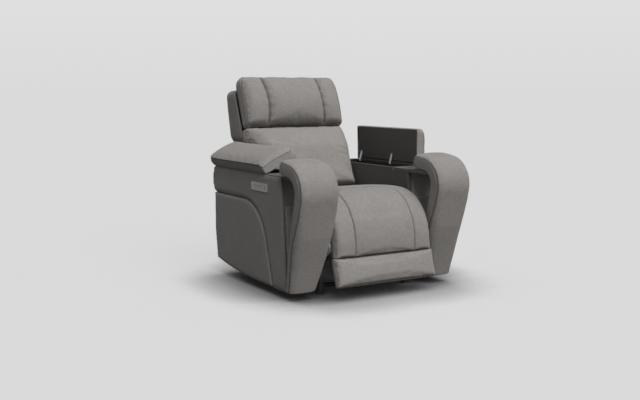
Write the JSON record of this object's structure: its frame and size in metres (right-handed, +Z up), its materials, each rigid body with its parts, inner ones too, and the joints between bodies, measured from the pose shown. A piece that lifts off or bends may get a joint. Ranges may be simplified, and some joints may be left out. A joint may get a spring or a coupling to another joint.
{
  "type": "power recliner chair",
  "caption": "Upholstered power recliner with wedge-shaped padded arm facings, lidded arm storage, cup holders and an adjustable headrest.",
  "frame": {"origin": "on the floor below the middle of the chair as it stands upright with the footrest down", "axes": "+Z up, -Y towards the front of the chair, +X towards the sitter's left arm; x = 0 is the seat's middle plane"},
  "size_m": [1.0065, 1.1912, 1.0793],
  "materials": {
    "upholstery": "flat woven cloth, warm grey",
    "arm_lining": "flat woven cloth, dark grey",
    "lid_lining": "dark grey board, slightly grained",
    "dark_plastic": "moulded, fine matt grain",
    "silver_trim": "satin",
    "zinc_steel": "zinc plated",
    "black_steel": "powder coated, satin black",
    "plywood": "bare birch plywood"
  },
  "bodies": {
    "chair_base": {"base_frame": "black_steel", "floor_glides": "dark_plastic", "side_plate_left": "zinc_steel", "side_plate_right": "zinc_steel", "seat_box": "plywood", "seat_springs": "zinc_steel", "seat_cushion": "upholstery", "arm_bolts": "zinc_steel", "arm_frame_left": "arm_lining", "arm_frame_right": "arm_lining", "arm_band_left": "upholstery", "arm_band_right": "upholstery", "arm_rear_panel_left": "upholstery", "arm_rear_panel_right": "upholstery", "arm_front_pad_left": "upholstery", "arm_front_pad_right": "upholstery", "arm_tray_left": "upholstery", "arm_tray_right": "upholstery", "storage_liner_left": "dark_plastic", "storage_liner_right": "dark_plastic", "cup_holder_left": "silver_trim", "cup_holder_right": "silver_trim", "arm_facing_left": "upholstery", "arm_facing_right": "upholstery", "lid_hinges_left": "black_steel", "lid_hinges_right": "black_steel", "control_plate": "silver_trim", "footrest_motor": "black_steel", "recline_motor": "black_steel", "power_box": "dark_plastic", "motor_tube": "black_steel"},
    "back": {"back_frame": "plywood", "back_springs": "zinc_steel", "back_shell": "upholstery", "back_cushion": "upholstery", "headrest_hinge": "black_steel", "headrest_motor": "black_steel"},
    "headrest": {"headrest_board": "upholstery", "headrest_pillow": "upholstery"},
    "footrest": {"footrest_board": "plywood", "leg_pad": "upholstery", "footrest_pad": "upholstery", "footrest_brackets": "zinc_steel"},
    "drive_tube": {"drive_tube": "black_steel"},
    "idler_arms": {"idler_arms": "zinc_steel"},
    "upper_links": {"upper_links": "zinc_steel"},
    "lower_links": {"lower_links": "zinc_steel"},
    "footrest_carriage": {"footrest_carriage": "zinc_steel"},
    "recline_carriage": {"recline_carriage": "zinc_steel"},
    "headrest_rod": {"headrest_rod": "zinc_steel"},
    "lid_left": {"lid_board_left": "lid_lining", "lid_pad_left": "upholstery"},
    "lid_right": {"lid_board_right": "lid_lining", "lid_pad_right": "upholstery"},
    "lid_stays_left": {"lid_stays_left": "zinc_steel"},
    "lid_stays_right": {"lid_stays_right": "zinc_steel"},
    "button_recline": {"button_recline": "dark_plastic"},
    "button_return": {"button_return": "dark_plastic"},
    "button_head_up": {"button_head_up": "dark_plastic"},
    "button_head_down": {"button_head_down": "dark_plastic"}
  },
  "joints": [
    {"name": "back_recline", "type": "hinge", "parent": "chair_base", "child": "back", "pos_m": [0, 0.235, 0.3], "axis": [-1, 0, 0], "range_deg": [0, 35]},
    {"name": "headrest_tilt", "type": "hinge", "parent": "back", "child": "headrest", "pos_m": [0, 0.3592, 0.8014], "axis": [1, 0, 0], "range_deg": [0, 35]},
    {"name": "headrest_rod_slide", "type": "slide", "parent": "back", "child": "headrest_rod", "axis": [0, 0.3665, 0.9304], "range_m": [0, 0.0511]},
    {"name": "recline_carriage_slide", "type": "slide", "parent": "chair_base", "child": "recline_carriage", "axis": [0, -1, 0], "range_m": [0, 0.0344]},
    {"name": "footrest_lift", "type": "hinge", "parent": "chair_base", "child": "footrest", "pos_m": [0, -0.483, 0.448], "axis": [-1, 0, 0], "range_deg": [0, 80]},
    {"name": "drive_tube_turn", "type": "hinge", "parent": "chair_base", "child": "drive_tube", "pos_m": [0, -0.353, 0.341], "axis": [-1, 0, 0], "range_deg": [0, 80]},
    {"name": "idler_arms_turn", "type": "hinge", "parent": "chair_base", "child": "idler_arms", "pos_m": [0, -0.288, 0.2875], "axis": [-1, 0, 0], "range_deg": [0, 80]},
    {"name": "upper_links_turn", "type": "hinge", "parent": "drive_tube", "child": "upper_links", "pos_m": [0, -0.31628, 0.2124], "axis": [-1, 0, 0], "range_deg": [-80, 0]},
    {"name": "lower_links_turn", "type": "hinge", "parent": "drive_tube", "child": "lower_links", "pos_m": [0, -0.34187, 0.1303], "axis": [-1, 0, 0], "range_deg": [-80, 0]},
    {"name": "footrest_carriage_slide", "type": "slide", "parent": "chair_base", "child": "footrest_carriage", "axis": [0, -1, 0], "range_m": [0, 0.0772]},
    {"name": "lid_left_hinge", "type": "hinge", "parent": "chair_base", "child": "lid_left", "pos_m": [0.472, 0, 0.615], "axis": [0, 1, 0], "range_deg": [-90, 0]},
    {"name": "lid_right_hinge", "type": "hinge", "parent": "chair_base", "child": "lid_right", "pos_m": [-0.472, 0, 0.615], "axis": [0, -1, 0], "range_deg": [-25, 65]},
    {"name": "lid_stays_left_turn", "type": "hinge", "parent": "lid_left", "child": "lid_stays_left", "pos_m": [0.447, 0, 0.646], "axis": [0, 1, 0], "range_deg": [0, 131.1]},
    {"name": "lid_stays_right_turn", "type": "hinge", "parent": "lid_right", "child": "lid_stays_right", "pos_m": [-0.43334, 0, 0.60544], "axis": [0, -1, 0], "range_deg": [-94.7, 36.5]},
    {"name": "button_recline_press", "type": "slide", "parent": "chair_base", "child": "button_recline", "axis": [1, 0, 0], "range_m": [0, 0.0015], "stiffness_N_per_m": 400, "springref_m": -0.001},
    {"name": "button_return_press", "type": "slide", "parent": "chair_base", "child": "button_return", "axis": [1, 0, 0], "range_m": [0, 0.0015], "stiffness_N_per_m": 400, "springref_m": -0.001},
    {"name": "button_head_up_press", "type": "slide", "parent": "chair_base", "child": "button_head_up", "axis": [1, 0, 0], "range_m": [0, 0.0015], "stiffness_N_per_m": 400, "springref_m": -0.001},
    {"name": "button_head_down_press", "type": "slide", "parent": "chair_base", "child": "button_head_down", "axis": [1, 0, 0], "range_m": [0, 0.0015], "stiffness_N_per_m": 400, "springref_m": -0.001}
  ],
  "couplings": [
    {"joint": "recline_carriage_slide", "follows": "back_recline", "m_per_rad": 0.0562},
    {"joint": "headrest_rod_slide", "follows": "headrest_tilt", "m_per_rad": 0.0835},
    {"joint": "drive_tube_turn", "follows": "footrest_lift", "ratio": 1},
    {"joint": "idler_arms_turn", "follows": "footrest_lift", "ratio": 1},
    {"joint": "upper_links_turn", "follows": "footrest_lift", "ratio": -1},
    {"joint": "lower_links_turn", "follows": "footrest_lift", "ratio": -1},
    {"joint": "footrest_carriage_slide", "follows": "footrest_lift", "m_per_rad": 0.0552},
    {"joint": "lid_stays_left_turn", "follows": "lid_left_hinge", "ratio": -1.4556},
    {"joint": "lid_stays_right_turn", "follows": "lid_right_hinge", "ratio": -1.4556}
  ]
}
